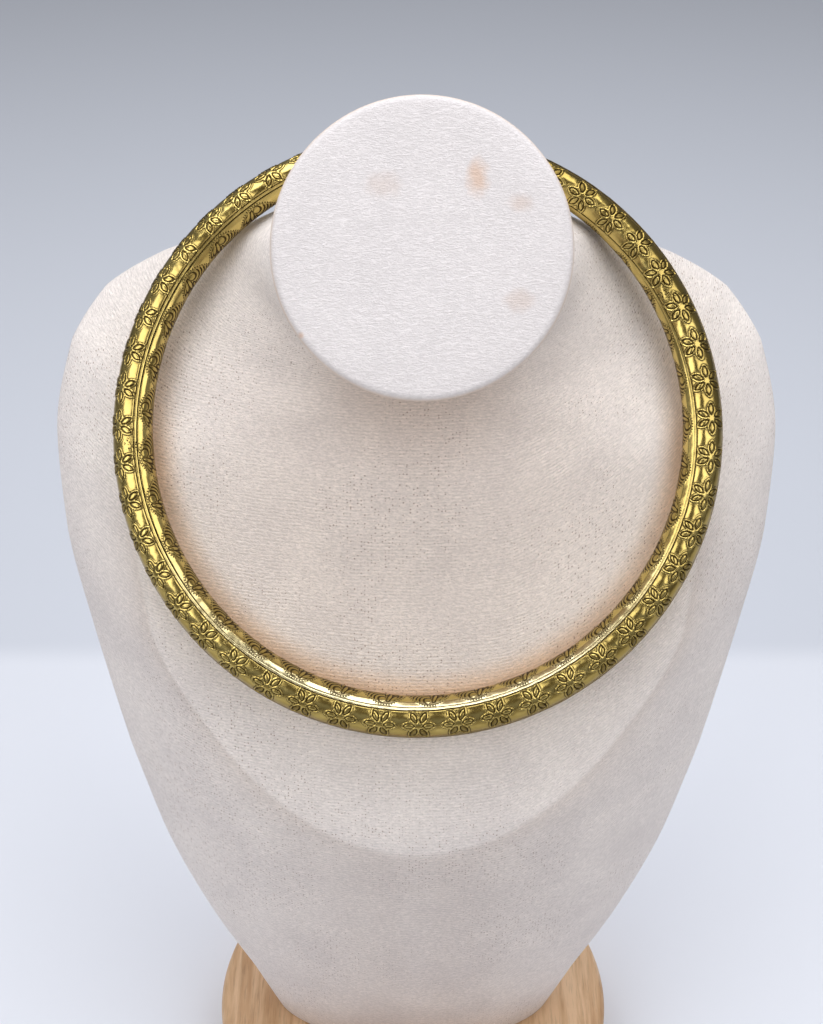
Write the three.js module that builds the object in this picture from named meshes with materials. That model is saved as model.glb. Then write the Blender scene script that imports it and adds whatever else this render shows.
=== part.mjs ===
// A hollow brass torc worn by a linen-covered neck bust that stands on a round wooden base.
// Millimetres, +Z up. The front faces -Y and the origin is the middle of the base's underside.

import * as THREE from 'three';

// Joint lines: between pieces that rest on each other, and between the torc's two strips
const GAP = 0.3;
const SEAM_GAP = 0.35;

// Wooden base
const BASE_RADIUS = 56;
const BASE_HEIGHT = 20;
const BASE_EDGE = 3;

// Neck bust: the foot stands on the base and the neck leans forward to its cap
const CHEST_HALF_WIDTH = 88.5;
const NECK_RADIUS = 28.5;
const NECK_END_RADIUS = 29.5;
const CAP_RADIUS = 31;
const CAP_THICKNESS = 4;
const CAP_EDGE = 1.6;
const CAP_CENTRE = new THREE.Vector3(0, 2, 267);
const CAP_ELEVATION = THREE.MathUtils.degToRad(36);
const BUST_SIDES = 44;
const STEPS_PER_ROW = 2;
const DISC_SIDES = 48;

// Each row is one section, from the foot to the neck's end, in the plane through its front point and
// its back point. half is its half-width and widest is how far back it is widest, as a part of its
// depth. rim is how full its sides are: 1 is an ellipse and 0 is a lens with thin edges. crease is how
// far the flatter face of the chest cuts back the curve of the sides, which it meets in a crease.
const BUST_ROWS = [
  { front: [-18, BASE_HEIGHT + GAP], back: [16, BASE_HEIGHT + GAP], half: 39.5, widest: 0.5, rim: 0.9,
    crease: 0 },
  { front: [-22, 40], back: [15, 42], half: 46, widest: 0.52, rim: 0.8, crease: 0 },
  { front: [-25, 62], back: [15, 66], half: 55.5, widest: 0.55, rim: 0.65, crease: 0 },
  { front: [-27.5, 86], back: [17, 94], half: 65, widest: 0.6, rim: 0.5, crease: 0 },
  { front: [-29, 103], back: [20, 113], half: 70.5, widest: 0.66, rim: 0.45, crease: 0 },
  { front: [-29.5, 113], back: [22.5, 125], half: 74, widest: 0.7, rim: 0.4, crease: 0 },
  { front: [-27.7, 120], back: [24.8, 133], half: 76.2, widest: 0.72, rim: 0.37, crease: 1.8 },
  { front: [-20, 137], back: [30.5, 153], half: 81.5, widest: 0.76, rim: 0.3, crease: 8.4 },
  { front: [-11, 158], back: [39, 176], half: 87, widest: 0.8, rim: 0.3, crease: 16 },
  { front: [3, 180], back: [48, 198], half: CHEST_HALF_WIDTH, widest: 0.82, rim: 0.3, crease: 17 },
  { front: [13, 198], back: [57, 217], half: 84, widest: 0.84, rim: 0.3, crease: 11 },
  { front: [19, 208], back: [63, 227], half: 75.5, widest: 0.87, rim: 0.3, crease: 5 },
  { front: [21, 215], back: [66.5, 235], half: 61.5, widest: 0.86, rim: 0.35, crease: 1 },
  { front: [20, 221.5], back: [66.5, 244], half: 45, widest: 0.77, rim: 0.6, crease: 0 },
  { front: [13, 228], back: [61, 255], half: 34, widest: 0.6, rim: 0.9, crease: 0 },
  { front: [4, 233], back: [48, 267], half: NECK_RADIUS, widest: 0.5, rim: 1, crease: 0 },
  { front: capPoint(-NECK_END_RADIUS, CAP_THICKNESS + GAP),
    back: capPoint(NECK_END_RADIUS, CAP_THICKNESS + GAP),
    half: NECK_END_RADIUS, widest: 0.5, rim: 1, crease: 0 },
];
// How round the chest's face is from side to side, as a part of how round the sides' curve is
const CHEST_ROUNDNESS = 0.45;
const CREASE_SOFTNESS = 2;

// Torc: a tube bent round in a plane, thickest at the front, with its opening behind the neck
const TORC_CENTRE = new THREE.Vector3(0, 22, 206);
const TORC_RADIUS = 66.7;
const TORC_ELEVATION = THREE.MathUtils.degToRad(38);
const TUBE_RADIUS_FRONT = 4.95;
const TUBE_TAPER = 1.6;
const TUBE_TAPER_POWER = 2.2;
const SHEET = 0.8;
const OPENING = 10;
const FLOWER_BAND = 7.4;
const BORDER = 0.7;
// Where the front seam sits round the tube, in degrees, from the back opening round to it again
const SEAM_STEP = 20;
const SEAM_ANGLES = [
  12, 11.8, 11.2, 10.6, 9.5, 8.7, 12.3, 16.2, 20, 24, 26.6, 26.8, 25.4, 25.5, 31, 42, 56, 65, 69,
];
const TORC_STEPS = 48;
const FLOWER_STRIP_SIDES = 8;
const SCROLL_STRIP_SIDES = 14;
const END_CAP_DOME = 1.6;
const END_CAP_SPIGOT = 3;
const SPIGOT_PLAY = 0.5;
const END_CAP_SIDES = 16;

const brass = new THREE.MeshStandardMaterial({ color: 0xa98a3f, roughness: 0.28, metalness: 1 });
const scrollBrass = new THREE.MeshStandardMaterial({ color: 0xc09a48, roughness: 0.25, metalness: 1 });
const capBrass = new THREE.MeshStandardMaterial({ color: 0xb8954a, roughness: 0.3, metalness: 1 });
const linen = new THREE.MeshStandardMaterial({ color: 0xd8ccc6, roughness: 0.95, metalness: 0 });
const capLinen = new THREE.MeshStandardMaterial({ color: 0xeae4e4, roughness: 0.95, metalness: 0 });
const wood = new THREE.MeshStandardMaterial({ color: 0xc19b7c, roughness: 0.55, metalness: 0 });

// A point [y, z] of the neck cap: up along its face from the middle, and depth below the face
function capPoint(up, depth) {
  const y = CAP_CENTRE.y + up * Math.sin(CAP_ELEVATION) + depth * Math.cos(CAP_ELEVATION);
  const z = CAP_CENTRE.z + up * Math.cos(CAP_ELEVATION) - depth * Math.sin(CAP_ELEVATION);
  return [y, z];
}

// A closed mesh from rings of points, one after the other, and the triangles that close its ends
function skin(name, rings, endTriangles, material) {
  const count = rings[0].length;
  const points = rings.flat();
  const last = (rings.length - 1) * count;
  const triangles = [];
  for (let ring = 0; ring < rings.length - 1; ring++) {
    for (let i = 0; i < count; i++) {
      const a = ring * count + i;
      const b = ring * count + (i + 1) % count;
      triangles.push([a, b, b + count], [a, b + count, a + count]);
    }
  }
  for (const [a, b, c] of endTriangles) {
    triangles.push([a, c, b], [last + a, last + b, last + c]);
  }
  const volume = triangles.reduce((sum, [a, b, c]) => (
    sum + points[a].dot(new THREE.Vector3().crossVectors(points[b], points[c]))), 0);
  const outward = volume > 0 ? triangles : triangles.map(([a, b, c]) => [a, c, b]);
  const geometry = new THREE.BufferGeometry().setFromPoints(points);
  geometry.setIndex(outward.flat());
  geometry.computeVertexNormals();
  return named(name, geometry, material);
}

function named(name, geometry, material) {
  const mesh = new THREE.Mesh(geometry, material);
  mesh.name = name;
  return mesh;
}

// A round piece whose profile of [radius, height] points turns about its own axis
function turned(name, profile, sides, material) {
  const points = profile.map(([radius, height]) => new THREE.Vector2(radius, height));
  return named(name, new THREE.LatheGeometry(points, sides), material);
}

// A disc on its own axis, with its two rims rounded
function disc(name, radius, height, edge, material) {
  const steps = 3;
  const rim = (turn, level) => [
    radius - edge + edge * Math.sin(turn),
    level === 0 ? edge - edge * Math.cos(turn) : height - edge + edge * Math.cos(turn),
  ];
  const low = Array.from({ length: steps + 1 }, (_, i) => rim((i / steps) * Math.PI / 2, 0));
  const high = Array.from({ length: steps + 1 }, (_, i) => rim((1 - i / steps) * Math.PI / 2, 1));
  return turned(name, [[0, 0], ...low, ...high, [0, height]], DISC_SIDES, material);
}

function woodenBase() {
  const base = disc('wooden_base', BASE_RADIUS, BASE_HEIGHT, BASE_EDGE, wood);
  base.rotation.x = Math.PI / 2;
  return base;
}

function neckCap() {
  const cap = disc('neck_cap', CAP_RADIUS, CAP_THICKNESS, CAP_EDGE, capLinen);
  const [y, z] = capPoint(0, CAP_THICKNESS);
  cap.position.set(0, y, z);
  cap.rotation.x = Math.PI - CAP_ELEVATION;
  return cap;
}

// The lesser of two distances, with the corner between them rounded
function softLesser(a, b) {
  const overlap = Math.max(CREASE_SOFTNESS - Math.abs(a - b), 0);
  return Math.min(a, b) - overlap ** 2 / (4 * CREASE_SOFTNESS);
}

// How far forward a section reaches at x: the chest's face or, past the crease, the sides' curve
function frontReach(x, half, reach, rim, crease) {
  const fall = 1 - (x / half) ** 2;
  const sides = (reach + crease) * (rim * Math.sqrt(Math.max(fall, 0)) + (1 - rim) * fall);
  const roundness = CHEST_ROUNDNESS * (reach + crease) * (1 - rim / 2);
  return Math.max(softLesser(reach - roundness * (1 - fall), sides), 0);
}

// One section of the bust, in the plane through its front and back points
function bustSection(front, back, half, widest, rim, crease) {
  const depth = front.distanceTo(back);
  const forward = front.clone().sub(back).normalize();
  const middle = front.clone().addScaledVector(forward, -depth * widest);
  return Array.from({ length: BUST_SIDES }, (_, i) => {
    const turn = (i / BUST_SIDES) * 2 * Math.PI;
    const x = half * Math.cos(turn);
    const sine = Math.sin(turn);
    const along = sine > 1e-6
      ? frontReach(x, half, depth * widest, rim, crease)
      : -depth * (1 - widest) * (rim * -sine + (1 - rim) * sine ** 2);
    return middle.clone().addScaledVector(forward, along).setX(x);
  });
}

function neckBust() {
  const curve = (point) => new THREE.CatmullRomCurve3(
    BUST_ROWS.map((row) => new THREE.Vector3(...point(row))));
  const fronts = curve((row) => [0, ...row.front]);
  const backs = curve((row) => [0, ...row.back]);
  const sizes = curve((row) => [row.half / CHEST_HALF_WIDTH, row.widest, 0]);
  const forms = curve((row) => [row.rim, row.crease, 0]);
  const steps = (BUST_ROWS.length - 1) * STEPS_PER_ROW;
  const rings = Array.from({ length: steps + 1 }, (_, i) => {
    const at = i / steps;
    const size = sizes.getPoint(at);
    const form = forms.getPoint(at);
    return bustSection(fronts.getPoint(at), backs.getPoint(at),
      size.x * CHEST_HALF_WIDTH, size.y, form.x, Math.max(form.y, 0));
  });
  const fan = Array.from({ length: BUST_SIDES - 2 }, (_, i) => [0, i + 1, i + 2]);
  return skin('neck_bust', rings, fan, linen);
}

// The torc's place is given by turn, the angle round the ring from its front, positive to the right,
// and by angle, round the tube from the face of the ring towards the ring's middle.
function tubeRadius(turn) {
  return TUBE_RADIUS_FRONT - TUBE_TAPER * (Math.abs(turn) / 180) ** TUBE_TAPER_POWER;
}

function seamAngle(turn) {
  const at = (turn + 180) / SEAM_STEP;
  const i = Math.min(Math.floor(at), SEAM_ANGLES.length - 2);
  const share = at - i;
  const last = SEAM_ANGLES.length - 1;
  const [a, b, c, d] = [i - 1, i, i + 1, i + 2].map((k) => (
    SEAM_ANGLES[Math.min(Math.max(k, 0), last)]));
  return b + share * ((c - a) + share * ((2 * a - 5 * b + 4 * c - d)
    + share * (3 * b - 3 * c + d - a))) / 2;
}

const TORC_AXIS = new THREE.Vector3(0, -Math.cos(TORC_ELEVATION), Math.sin(TORC_ELEVATION));
const TORC_UP = new THREE.Vector3(0, Math.sin(TORC_ELEVATION), Math.cos(TORC_ELEVATION));

function torcOutward(turn) {
  const t = THREE.MathUtils.degToRad(turn);
  return new THREE.Vector3(Math.sin(t), 0, 0).addScaledVector(TORC_UP, -Math.cos(t));
}

function torcPoint(turn, angle, radius) {
  const outward = torcOutward(turn);
  const a = THREE.MathUtils.degToRad(angle);
  return TORC_CENTRE.clone()
    .addScaledVector(outward, TORC_RADIUS - radius * Math.sin(a))
    .addScaledVector(TORC_AXIS, radius * Math.cos(a));
}

// Where the strips end: half the opening, the cap's dome and the joint line behind it
const END_TURN = 180 - THREE.MathUtils.radToDeg((OPENING / 2 + END_CAP_DOME + GAP) / TORC_RADIUS);

// A bent strip of sheet. Its edges are in millimetres round the tube from the front seam.
function strip(name, edges, sides, material) {
  const rings = Array.from({ length: TORC_STEPS + 1 }, (_, step) => {
    const turn = END_TURN * (2 * step / TORC_STEPS - 1);
    const radius = tubeRadius(turn);
    const [from, to] = edges(turn).map((edge) => seamAngle(turn)
      + THREE.MathUtils.radToDeg(edge / radius));
    const wall = (depth) => Array.from({ length: sides + 1 }, (_, i) => (
      torcPoint(turn, from + (to - from) * (i / sides), radius - depth)));
    return [...wall(0), ...wall(SHEET).reverse()];
  });
  const ends = [];
  for (let i = 0; i < sides; i++) {
    const inner = 2 * sides + 1 - i;
    ends.push([i, i + 1, inner], [i + 1, inner - 1, inner]);
  }
  return skin(name, rings, ends, material);
}

function flowerStrip() {
  const edges = () => [-FLOWER_BAND - BORDER, BORDER];
  return strip('flower_strip', edges, FLOWER_STRIP_SIDES, brass);
}

function scrollStrip() {
  const edges = (turn) => [
    BORDER + SEAM_GAP,
    2 * Math.PI * tubeRadius(turn) - FLOWER_BAND - BORDER - SEAM_GAP,
  ];
  return strip('scroll_strip', edges, SCROLL_STRIP_SIDES, scrollBrass);
}

// A domed plug that closes one end of the tube; side is 1 on the right and -1 on the left
function endCap(name, side) {
  const turn = side * END_TURN;
  const radius = tubeRadius(turn);
  const spigot = radius - SHEET - SPIGOT_PLAY;
  const domeSteps = 4;
  const dome = Array.from({ length: domeSteps + 1 }, (_, i) => {
    const t = (i / domeSteps) * Math.PI / 2;
    return [radius * Math.cos(t), GAP + END_CAP_DOME * Math.sin(t)];
  });
  dome[domeSteps][0] = 0;
  const profile = [[0, -END_CAP_SPIGOT], [spigot, -END_CAP_SPIGOT], [spigot, GAP], ...dome];
  const cap = turned(name, profile, END_CAP_SIDES, capBrass);
  const outward = torcOutward(turn);
  const along = new THREE.Vector3().crossVectors(outward, TORC_AXIS).multiplyScalar(-side);
  const frame = new THREE.Matrix4().makeBasis(
    new THREE.Vector3().crossVectors(along, outward), along, outward);
  cap.quaternion.setFromRotationMatrix(frame);
  cap.position.copy(TORC_CENTRE).addScaledVector(outward, TORC_RADIUS);
  return cap;
}

const torc = new THREE.Group();
torc.add(flowerStrip(), scrollStrip(), endCap('end_cap_left', -1), endCap('end_cap_right', 1));

const stand = new THREE.Group();
stand.add(neckBust(), neckCap(), woodenBase());

const torcOnBust = new THREE.Group();
torcOnBust.add(torc, stand);

export default torcOnBust;
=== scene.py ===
"""A stamped brass torc on a linen-covered neck bust with a wooden base."""

import math

import bpy
from mathutils import Matrix, Vector, noise


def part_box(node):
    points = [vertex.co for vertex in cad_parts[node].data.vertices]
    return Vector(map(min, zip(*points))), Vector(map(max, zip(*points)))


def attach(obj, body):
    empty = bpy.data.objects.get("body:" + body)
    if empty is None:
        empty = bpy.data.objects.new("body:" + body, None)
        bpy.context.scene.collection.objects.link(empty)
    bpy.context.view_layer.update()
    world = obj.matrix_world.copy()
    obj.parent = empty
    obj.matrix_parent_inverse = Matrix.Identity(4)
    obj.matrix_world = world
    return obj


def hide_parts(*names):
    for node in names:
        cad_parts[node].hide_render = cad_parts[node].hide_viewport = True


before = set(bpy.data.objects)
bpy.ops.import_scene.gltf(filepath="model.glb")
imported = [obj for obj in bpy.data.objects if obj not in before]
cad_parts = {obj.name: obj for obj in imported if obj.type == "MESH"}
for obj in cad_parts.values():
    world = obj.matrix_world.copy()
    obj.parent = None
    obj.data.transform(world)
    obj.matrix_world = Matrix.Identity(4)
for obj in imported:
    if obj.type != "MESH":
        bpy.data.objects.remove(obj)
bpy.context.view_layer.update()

bl_info = {
    "name": "Torc on a Neck Bust",
    "version": (1, 0, 0),
    "blender": (4, 5, 0),
    "location": "View3D > Sidebar > Torc",
    "description": "Models a stamped brass torc on a linen-covered neck bust",
    "category": "Add Mesh",
}

MM = 0.001
BODY = "root"

# Where the torc lies, in millimetres: its centre, and the two directions of its tilted plane.
TORC_TILT = math.radians(38)
TORC_CENTRE = Vector((0, 22, 206))
TORC_AXIS = Vector((0, -math.cos(TORC_TILT), math.sin(TORC_TILT)))
TORC_UP = Vector((0, math.sin(TORC_TILT), math.cos(TORC_TILT)))
TUBE_TAPER_POWER = 2.2
FULL_TURN = 360

# The end caps: how far they bulge, their gap to the strips, and the spigot that goes into the tube.
CAP_DOME = 1.6
CAP_GAP = 0.3
CAP_SPIGOT = 3
SPIGOT_PLAY = 0.5

# Where the front seam sits round the tube, in degrees, at every step of turn from the back opening
# round to it again.
SEAM_STEP = 20
SEAM_ANGLES = (
    12, 11.8, 11.2, 10.6, 9.5, 8.7, 12.3, 16.2, 20, 24, 26.6, 26.8, 25.4, 25.5, 31, 42, 56, 65, 69
)

# The strips were stamped by hand. These say how far the pattern has drifted from even spacing at a
# turn, and where the seam has closed, as (degrees of turn, degrees or share).
FLOWER_DRIFT = (
    (-180, 3.7), (-150, 3.1), (-120, 2.0), (-91, 0.65), (-62, -0.2), (-47, -0.7), (-30, 0), (0, 0),
    (31, 0.6), (62, 1.2), (92, 0.8), (107, 0.3), (123, 0.9), (145, -0.3), (180, -0.3),
)
SCROLL_DRIFT = ((-180, 0), (12, 0), (32, 1.1), (52, 1.6), (72, 1.7), (110, 1.8), (180, 0))
SEAM_CLOSED = ((-180, 0.3), (-130, 0.3), (-105, 0), (-65, 0), (-40, 0.9), (90, 0.9), (180, 0.4))

# Places of a flat strip that are nearer than this are the same place, in millimetres.
MEETING = 1e-4

# The strips are stamped flat, at the length that they have round the ring at these radii.
FLOWER_FLAT_RADIUS = 68.9
SCROLL_FLAT_RADIUS = 62.5

# How far the strips' lowest metal lies under the tube's outside, and how uneven the sheet is.
GROUND_DEPTH = 0.2
UNEVENNESS = 0.035
UNEVEN_SEED = Vector((7.3, 1.9, 4.1))

# The bust, its cap and its base, in millimetres. CAP_CENTRE is (y, z) of the middle of the cap's face.
CHEST_HALF_WIDTH = 88.5
NECK_END_RADIUS = 29.5
CAP_THICKNESS = 4
CAP_TILT = math.radians(36)
CAP_CENTRE = (2, 267)
BASE_HEIGHT = 20
PIECE_GAP = 0.3
# How round the chest's face is, as a share of the roundness of the sides, and how softly they meet.
CHEST_ROUNDNESS = 0.45
CREASE_SOFTNESS = 2
BUST_SIDES = 200
BUST_STEPS = 176
# Edges sharper than this are rounded with a bevel.
SHARP_EDGE = math.radians(60)


def cap_point(up, depth):
    """The (y, z) of a place on the cap's middle plane, up its slope and behind its face, in millimetres."""
    y, z = CAP_CENTRE
    return (
        y + up * math.sin(CAP_TILT) + depth * math.cos(CAP_TILT),
        z + up * math.cos(CAP_TILT) - depth * math.sin(CAP_TILT),
    )


# Rows of the bust from the base up to the neck. Front and back are (y, z) of the row's two middle
# points, half is half its width, widest says how far back the widest place lies, rim how square the
# row is at its sides, and crease how far the chest would stand out past its own edge.
BUST_ROWS = [
    # front, back, half, widest, rim, crease
    ((-18, BASE_HEIGHT + PIECE_GAP), (16, BASE_HEIGHT + PIECE_GAP), 39.5, 0.5, 0.9, 0),
    ((-22, 40), (15, 42), 46, 0.52, 0.8, 0),
    ((-25, 62), (15, 66), 55.5, 0.55, 0.65, 0),
    ((-27.5, 86), (17, 94), 65, 0.6, 0.5, 0),
    ((-29, 103), (20, 113), 70.5, 0.66, 0.45, 0),
    ((-29.5, 113), (22.5, 125), 74, 0.7, 0.4, 0),
    ((-27.7, 120), (24.8, 133), 76.2, 0.72, 0.37, 1.8),
    ((-20, 137), (30.5, 153), 81.5, 0.76, 0.3, 8.4),
    ((-11, 158), (39, 176), 87, 0.8, 0.3, 16),
    ((3, 180), (48, 198), CHEST_HALF_WIDTH, 0.82, 0.3, 17),
    ((13, 198), (57, 217), 84, 0.84, 0.3, 11),
    ((19, 208), (63, 227), 75.5, 0.87, 0.3, 5),
    ((21, 215), (66.5, 235), 61.5, 0.86, 0.35, 1),
    ((20, 221.5), (66.5, 244), 45, 0.77, 0.6, 0),
    ((13, 228), (61, 255), 34, 0.6, 0.9, 0),
    ((4, 233), (48, 267), 28.5, 0.5, 1, 0),
    (
        cap_point(-NECK_END_RADIUS, CAP_THICKNESS + PIECE_GAP),
        cap_point(NECK_END_RADIUS, CAP_THICKNESS + PIECE_GAP), NECK_END_RADIUS, 0.5, 1, 0,
    ),
]


def linear(code):
    """An sRGB hex colour as three linear numbers."""
    shares = [int(code[i : i + 2], 16) / 255 for i in (1, 3, 5)]
    return [c / 12.92 if c <= 0.04045 else ((c + 0.055) / 1.055) ** 2.4 for c in shares]


# ---------------------------------------------------------------- sizes and colours


def length(name, description, default):
    """A size in metres that a user can change."""
    return bpy.props.FloatProperty(
        name=name, description=description, default=default, unit="LENGTH", precision=5
    )


def colour(name, description, code):
    """A colour that a user can change, given as sRGB hex."""
    return bpy.props.FloatVectorProperty(
        name=name,
        description=description,
        default=linear(code),
        subtype="COLOR",
        min=0,
        max=1,
    )


class TorcSizes(bpy.types.PropertyGroup):
    ring_radius: length("Ring radius", "From the ring's centre to the middle of its tube", 0.0667)
    tube_radius: length("Tube radius", "Radius of the tube at the front of the ring", 0.00495)
    tube_taper: length("Tube taper", "How much thinner the tube's radius is at its ends", 0.0016)
    opening: length("Opening", "Gap between the two ends at the back of the neck", 0.010)
    sheet: length("Sheet", "Thickness of the stamped sheet", 0.0008)
    flower_band: length("Flower band", "Width of the band of flowers between its borders", 0.0074)
    border: length("Border", "Width of the beaded border along each edge", 0.0007)
    seam_gap: length("Seam", "Open line between the two stamped strips", 0.00035)
    relief: length("Relief", "Height that the stamp raises the sheet", 0.00034)
    flowers: bpy.props.IntProperty(name="Flowers", description="Flowers in a full circle", default=47)
    scrolls: bpy.props.IntProperty(name="Scrolls", description="Scrolls in a full circle", default=37)


class BustSizes(bpy.types.PropertyGroup):
    cap_radius: length("Cap radius", "Radius of the round cap on the neck", 0.031)
    cap_edge: length("Cap edge", "Rounding of the cap's edge", 0.0016)
    base_edge: length("Base edge", "Rounding of the wooden base's edge", 0.003)
    rib_pitch: length("Rib pitch", "Distance from one woven rib to the next", 0.00082)


class TorcColours(bpy.types.PropertyGroup):
    brass: colour("Brass", "Rubbed brass on the raised places", "#E0C87A")
    # Painted highlight: the crimped edges at the ring's front are painted paler to whiten the overhead
    # light's reflection.
    highlight_edge: colour("Highlight edge", "Brass of the crimped edges, rubbed the palest", "#FAEDBE")
    film: colour("Brass film", "Olive film on the less rubbed brass", "#9C8648")
    tarnish: colour("Tarnish", "Dark tarnish left in the stamped lines", "#3A2A14")
    linen: colour("Linen", "Linen of the bust", "#F5EDE9")
    linen_grey: colour("Grey linen", "The bust's linen where its pile is thinner", "#ECE4E1")
    # Painted shade: the middle of the chest is painted a little darker, toning down the overhead light
    # there.
    chest_shade: colour("Chest shade", "Tint of the bust's linen where necklaces are laid on it", "#FCF8F4")
    # Painted shade: the board's sides below the crease are painted greyer, darkest just below it.
    past_crease: colour("Below the crease", "Tint of the bust's linen below the crease", "#EFECEA")
    cap: colour("Cap linen", "Linen of the cap, cleaner than the bust's", "#E8E3E5")
    cap_grey: colour("Grey cap linen", "The cap's linen where its pile is thinner", "#E4DFE1")
    cap_rim: colour("Cap rim", "Linen worn warm round the cap's edge", "#E3CDB9")
    fleck: colour("Fleck", "Open pits in the linen", "#94776A")
    stain: colour("Stain", "Glue stains on the linen", "#D9A87C")
    wood: colour("Wood", "Pale growth of the base's wood", "#DDB993")
    grain: colour("Grain", "Dark growth of the base's wood", "#B98F66")
    floor: colour("Floor", "The plain floor", "#E5E8F1")
    # Painted shade: the floor is painted darker far behind the object and well in front of it.
    far_floor: colour("Far floor", "The floor behind the object", "#D5D9E3")
    farthest_floor: colour("Farthest floor", "The floor far behind", "#B2B5BD")
    front_floor: colour("Front floor", "The floor well in front", "#A8A39A")
    room: colour("Room", "The pale room", "#87898F")
    room_dark: colour("Dark room", "The darker part of the room, high in front", "#564E3C")
    # Painted reflection and shade: warm light from the brass, and its contact shadow, on the linen beside
    # the ring.
    brass_glow: colour("Brass glow", "Tint of the linen where the ring has rubbed it", "#F6DFCA")
    # Painted shadow of the cap's overhang on the linen below it.
    cap_shadow: colour("Cap shadow", "Tint of the linen just below the cap", "#C6B29E")


# ---------------------------------------------------------------- small helpers


def start_clean():
    """Leaves object mode as the only mode, with nothing selected."""
    if bpy.context.mode != "OBJECT":
        bpy.ops.object.mode_set(mode="OBJECT")
    bpy.ops.object.select_all(action="DESELECT")


def make_active(piece):
    """Leaves one piece selected and active, in object mode."""
    start_clean()
    piece.select_set(True)
    bpy.context.view_layer.objects.active = piece


def new_piece(name):
    """The primitive that was just added, renamed."""
    piece = bpy.context.object
    piece.name = name
    piece.data.name = name
    return piece


def select_points(piece, wanted):
    """Selects the vertices whose place is wanted, and the edges and faces between them."""
    bpy.ops.object.mode_set(mode="OBJECT")
    mesh = piece.data
    chosen = [wanted(vertex.co) for vertex in mesh.vertices]
    mesh.vertices.foreach_set("select", chosen)
    mesh.edges.foreach_set("select", [all(chosen[i] for i in edge.vertices) for edge in mesh.edges])
    mesh.polygons.foreach_set("select", [all(chosen[i] for i in face.vertices) for face in mesh.polygons])
    bpy.ops.object.mode_set(mode="EDIT")


def apply_modifier(piece, kind, **settings):
    """Gives a piece a modifier with its settings and applies it."""
    make_active(piece)
    modifier = piece.modifiers.new(kind.title(), kind)
    for key, value in settings.items():
        setattr(modifier, key, value)
    bpy.ops.object.modifier_apply(modifier=modifier.name)


def reshape(piece, place):
    """Moves every vertex to the place that a function gives for it."""
    points = [place(vertex.co) for vertex in piece.data.vertices]
    piece.data.vertices.foreach_set("co", [number for point in points for number in point])
    piece.data.update()


def face_outwards(piece, merge=1e-7):
    """Merges the vertices that meet, and turns every face outwards."""
    make_active(piece)
    bpy.ops.object.mode_set(mode="EDIT")
    bpy.ops.mesh.select_all(action="SELECT")
    if merge:
        bpy.ops.mesh.remove_doubles(threshold=merge)
    bpy.ops.mesh.normals_make_consistent(inside=False)
    bpy.ops.object.mode_set(mode="OBJECT")


def apply_place(piece):
    """Puts a piece's place, turn and size into its mesh."""
    make_active(piece)
    bpy.ops.object.transform_apply(location=True, rotation=True, scale=True)


def round_disc(disc, edge, segments, inset):
    """Rounds a disc's two edges, and keeps its faces flat with a ring of faces just inside them."""
    apply_modifier(
        disc, "BEVEL", width=edge, segments=segments, limit_method="ANGLE", angle_limit=SHARP_EDGE
    )
    heights = [vertex.co.z for vertex in disc.data.vertices]
    low, high = min(heights) + 1e-6, max(heights) - 1e-6
    make_active(disc)
    bpy.ops.object.mode_set(mode="EDIT")
    select_points(disc, lambda co: not low < co.z < high)
    bpy.ops.mesh.inset(thickness=inset)
    bpy.ops.object.mode_set(mode="OBJECT")


def finish_piece(piece, material, node, angle=40):
    """Smooths a piece, gives it its material, and puts it in the frame in place of a CAD node."""
    make_active(piece)
    bpy.ops.object.shade_smooth_by_angle(angle=math.radians(angle))
    piece.data.materials.clear()
    piece.data.materials.append(material)
    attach(piece, BODY)
    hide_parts(node)
    start_clean()


def between(table, at):
    """A value read from a table of (place, value), with straight lines between its rows."""
    for (low, a), (high, b) in zip(table, table[1:]):
        if at <= high:
            return a + (b - a) * max(at - low, 0) / (high - low)
    return table[-1][1]


def smooth_step(low, high, value):
    """0 below low, 1 above high, and a smooth curve between them."""
    share = min(max((value - low) / (high - low), 0), 1)
    return share * share * (3 - 2 * share)


def ridge(distance, half_width, softness):
    """1 on a line and 0 away from it, from the distance to the line's middle."""
    return 1 - smooth_step(half_width, half_width + softness, abs(distance))


# ---------------------------------------------------------------- materials

# Settings that many nodes share
COLOUR = {"data_type": "RGBA"}
TINT = {"data_type": "RGBA", "blend_type": "MULTIPLY"}
SMOOTH = {"interpolation_type": "SMOOTHSTEP"}


def fill(tree, made, inputs):
    """Fills a node's inputs, or links them to nodes or sockets."""
    for name, value in inputs.items():
        socket = made.inputs[name]
        if isinstance(value, bpy.types.Node):
            value = next(output for output in value.outputs if output.enabled)
        if isinstance(value, bpy.types.NodeSocket):
            tree.links.new(value, socket)
        else:
            socket.default_value = value


def node(tree, kind, inputs=None, **settings):
    """Adds a shader node of a kind, with its settings, and fills or links its inputs."""
    made = tree.nodes.new("ShaderNode" + kind)
    for name, value in settings.items():
        setattr(made, name, value)
    fill(tree, made, inputs or {})
    return made


def rgba(three):
    """A colour's three numbers, with full cover."""
    return (*three, 1)


def new_material(name):
    """A new material, with its tree and its shader."""
    material = bpy.data.materials.new(name)
    material.use_nodes = True
    return material, material.node_tree, material.node_tree.nodes["Principled BSDF"]


def lines_along(tree, value, low, high, stops):
    """Darkness across a stamped line, through (millimetres, darkness) stops between low and high."""
    share = node(tree, "MapRange", {"Value": value, "From Min": low, "From Max": high}, clamp=True)
    made = node(tree, "ValToRGB", {0: share})
    elements = made.color_ramp.elements
    elements.remove(elements[1])
    for i, (place, dark) in enumerate(stops):
        at = (place - low) / (high - low)
        element = elements.new(at) if i else elements[0]
        element.position = at
        element.color = (dark, dark, dark, 1)
    return made


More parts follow.
